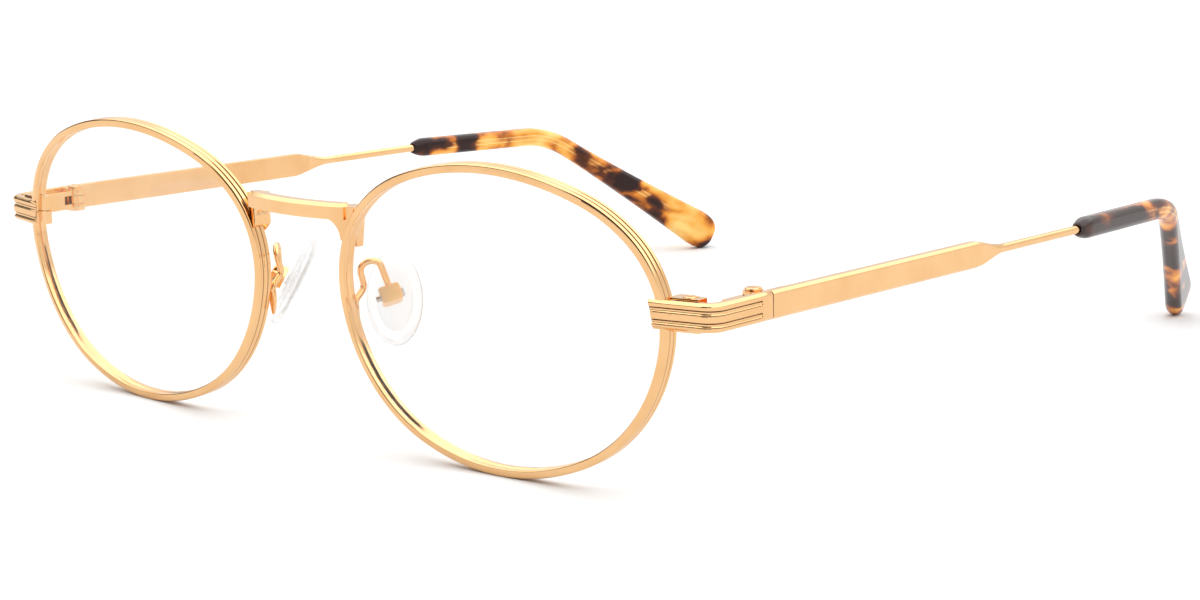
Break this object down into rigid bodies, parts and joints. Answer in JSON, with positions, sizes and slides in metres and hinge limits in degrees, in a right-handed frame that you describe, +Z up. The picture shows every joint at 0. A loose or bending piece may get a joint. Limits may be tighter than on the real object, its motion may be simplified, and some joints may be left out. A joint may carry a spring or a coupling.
{
  "type": "oval eyeglasses",
  "caption": "Full-rim oval metal eyeglasses with a bowed bridge, rocking nose pads, fluted end pieces, folding temples and bent tortoise tips.",
  "frame": {"origin": "on the surface that the eyeglasses stand on, under the middle of the whole object's box", "axes": "+Z up, the front looks along -Y, +X towards the wearer's left"},
  "size_m": [0.1392, 0.1442, 0.0406],
  "materials": {
    "gold_polished": "polished rose gold plating",
    "gold_screw": "polished",
    "steel_screw": "satin",
    "clear_lens": "clear and polished",
    "clear_pad": "clear and soft",
    "tortoise_acetate": "polished brown and amber tortoise"
  },
  "bodies": {
    "front": {"rim_left": "gold_polished", "rim_right": "gold_polished", "lens_left": "clear_lens", "lens_right": "clear_lens", "end_piece_left": "gold_polished", "end_piece_right": "gold_polished", "closing_block_upper_left": "gold_polished", "closing_block_upper_right": "gold_polished", "closing_block_lower_left": "gold_polished", "closing_block_lower_right": "gold_polished", "closing_screw_left": "gold_screw", "closing_screw_right": "gold_screw", "front_hinge_leaf_left": "gold_polished", "front_hinge_leaf_right": "gold_polished", "hinge_screw_left": "gold_screw", "hinge_screw_right": "gold_screw", "pad_box_left": "gold_polished", "pad_box_right": "gold_polished", "pad_screw_left": "steel_screw", "pad_screw_right": "steel_screw", "pad_arm_left": "gold_polished", "pad_arm_right": "gold_polished", "bridge": "gold_polished"},
    "temple_left_arm": {"temple_left": "gold_polished", "temple_hinge_leaf_left": "gold_polished", "temple_tip_left": "tortoise_acetate"},
    "pad_left": {"nose_pad_left": "clear_pad"},
    "temple_right_arm": {"temple_right": "gold_polished", "temple_hinge_leaf_right": "gold_polished", "temple_tip_right": "tortoise_acetate"},
    "pad_right": {"nose_pad_right": "clear_pad"}
  },
  "joints": [
    {"name": "temple_left_fold", "type": "hinge", "parent": "front", "child": "temple_left_arm", "pos_m": [0.06688, -0.05553, 0.02419], "axis": [0, 0, 1], "range_deg": [0, 86]},
    {"name": "pad_left_rock", "type": "hinge", "parent": "front", "child": "pad_left", "pos_m": [0.01128, -0.06403, 0.02003], "axis": [0.54, 0.796, 0.2736], "range_deg": [-10, 10]},
    {"name": "temple_right_fold", "type": "hinge", "parent": "front", "child": "temple_right_arm", "pos_m": [-0.06688, -0.05553, 0.02419], "axis": [0, 0, -1], "range_deg": [0, 81]},
    {"name": "pad_right_rock", "type": "hinge", "parent": "front", "child": "pad_right", "pos_m": [-0.01128, -0.06403, 0.02003], "axis": [-0.54, 0.796, 0.2736], "range_deg": [-10, 10]}
  ]
}
